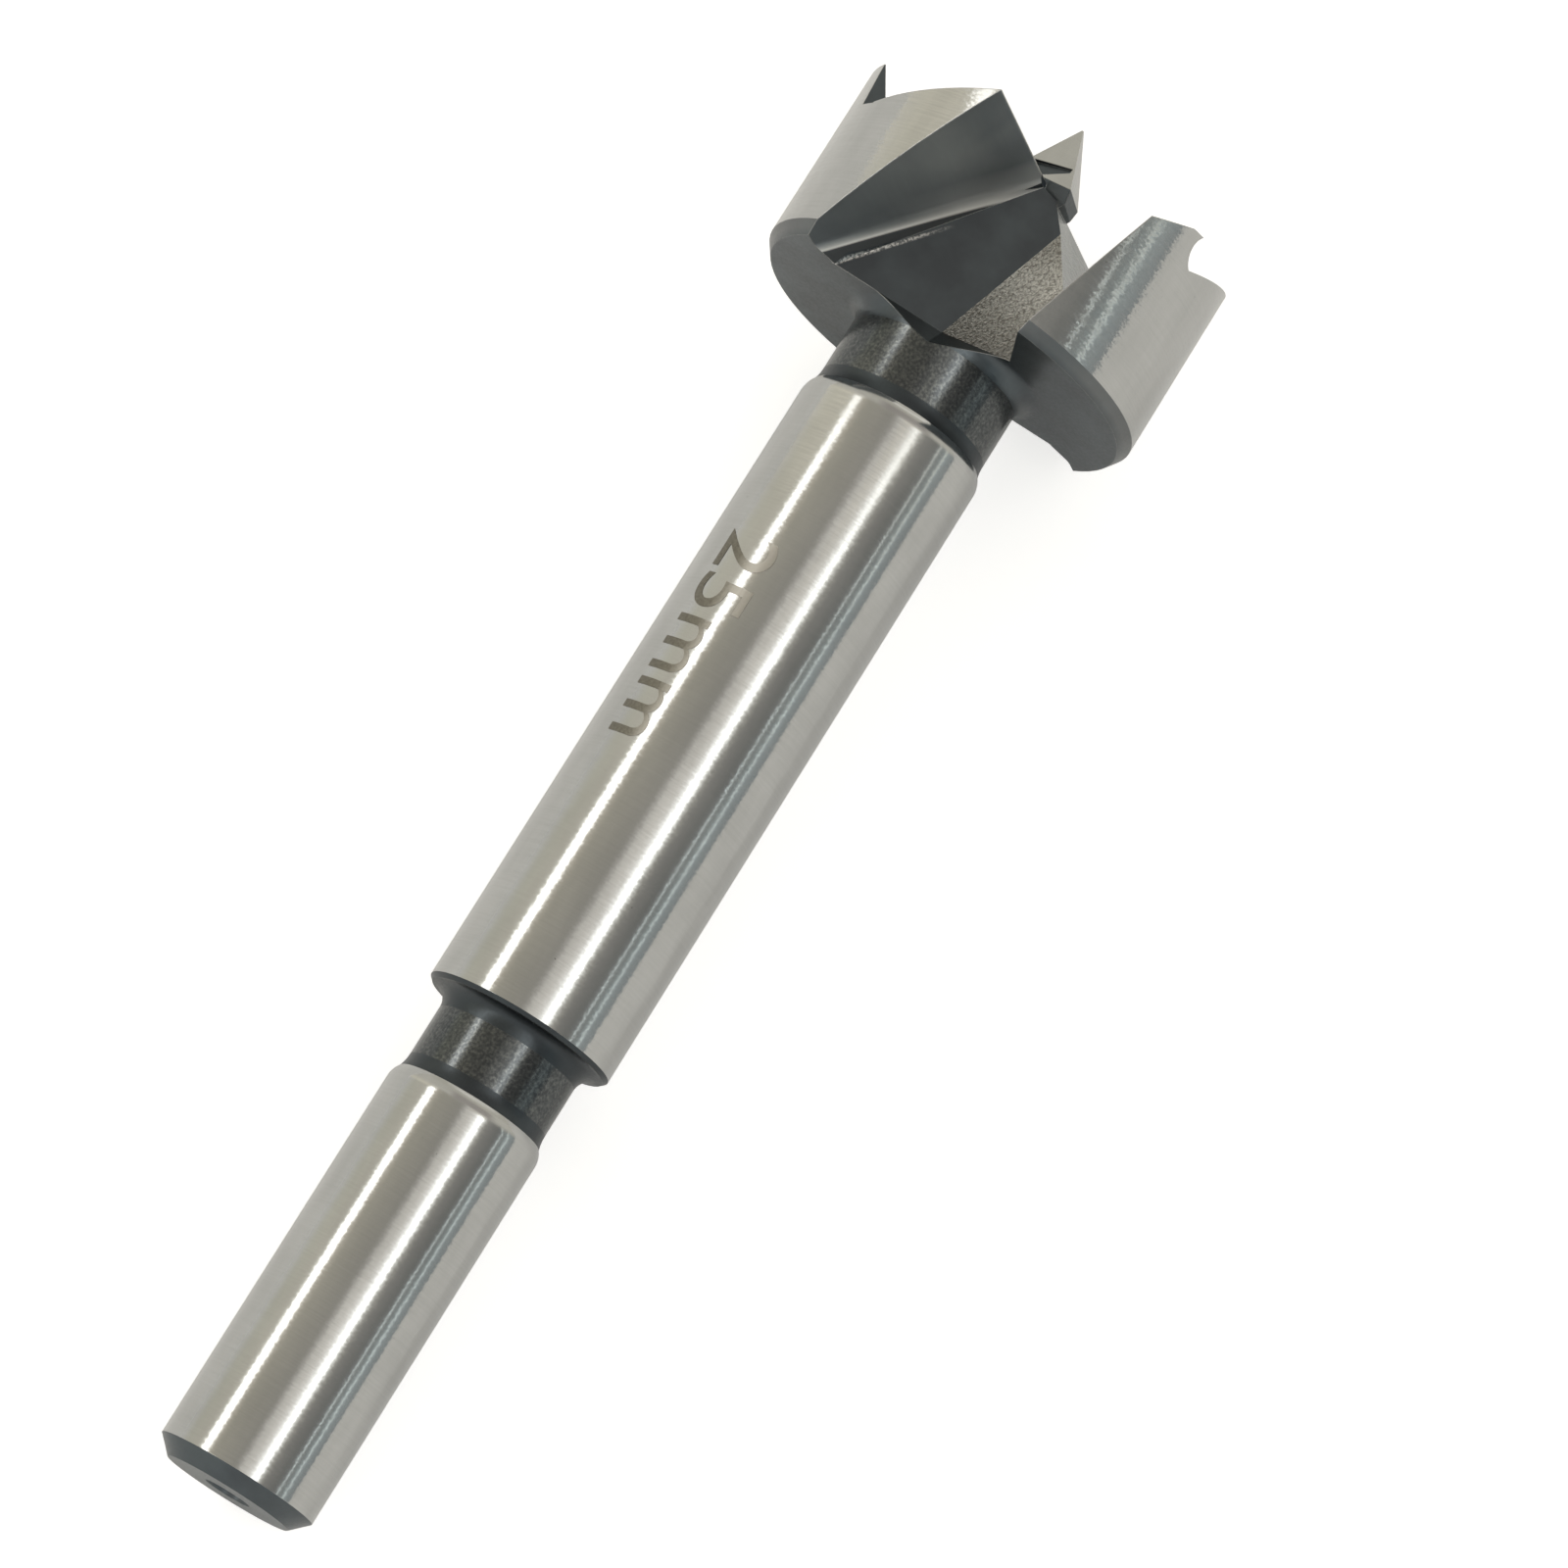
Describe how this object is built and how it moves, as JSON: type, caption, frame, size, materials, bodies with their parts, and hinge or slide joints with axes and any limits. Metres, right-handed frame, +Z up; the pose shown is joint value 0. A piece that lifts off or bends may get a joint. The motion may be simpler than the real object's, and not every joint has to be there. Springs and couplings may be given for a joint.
{
  "type": "forstner bit",
  "caption": "Forstner bit for wood: ground round shank, necked body and stem, and a wide cutting head with gullets, a saw-toothed rim and a brad point.",
  "frame": {"origin": "centre of the bounding box's bottom face, on the surface the bit lies on", "axes": "+Z up; the bit's own axis lies in the XZ plane, with the cutting head towards +X and the shank's end towards -X and a little lower"},
  "size_m": [0.0958, 0.025, 0.0242],
  "materials": {
    "tool_steel": "ground bright on the shank, body and rim; black oxide in the necks, gullets and rear faces"
  },
  "bodies": {
    "root": {"forstner_bit": "tool_steel"}
  },
  "joints": []
}
